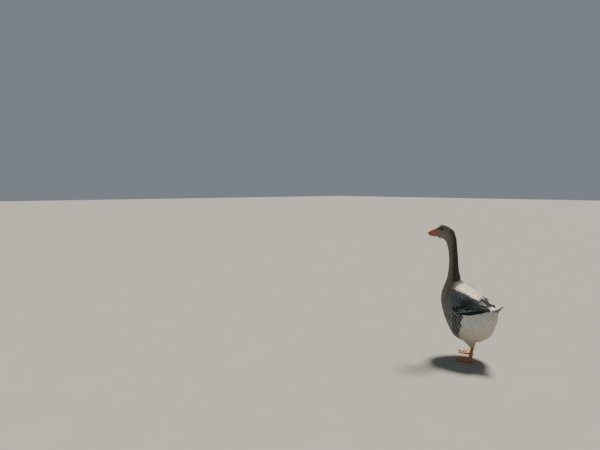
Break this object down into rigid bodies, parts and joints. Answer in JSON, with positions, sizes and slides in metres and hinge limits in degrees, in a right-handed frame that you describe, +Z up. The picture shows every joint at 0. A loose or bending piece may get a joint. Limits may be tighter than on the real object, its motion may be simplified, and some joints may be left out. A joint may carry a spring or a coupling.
{
  "type": "goose",
  "caption": "Danish domestic goose standing alert, grey-brown head, neck and breast, dark wings with pale feather edges, white belly and tail, orange bill and webbed feet",
  "frame": {"origin": "on the floor, under the middle of the bounding box", "axes": "+X towards the tail, so the bird faces -X; +Y towards its right side; +Z up"},
  "size_m": [0.4572, 0.242, 0.799],
  "materials": {
    "grey_feathers": "matte, stands in for small grey-brown feathers",
    "wing_feathers": "matte, stands in for firm dark vanes with pale edges",
    "white_feathers": "matte, stands in for soft white feathers",
    "bill_horn": "satin, stands in for the bill's horn",
    "leg_scales": "satin, scaly skin of shanks and webbed feet",
    "eye": "glossy and wet"
  },
  "bodies": {
    "root": {"head": "grey_feathers", "neck_upper": "grey_feathers", "neck_lower": "grey_feathers", "torso": "grey_feathers", "wing_left": "wing_feathers", "wing_right": "wing_feathers", "tail": "white_feathers", "thigh_left": "white_feathers", "thigh_right": "white_feathers", "bill_upper": "bill_horn", "bill_lower": "bill_horn", "shank_left": "leg_scales", "shank_right": "leg_scales", "foot_left": "leg_scales", "foot_right": "leg_scales", "eye_left": "eye", "eye_right": "eye"}
  },
  "joints": []
}
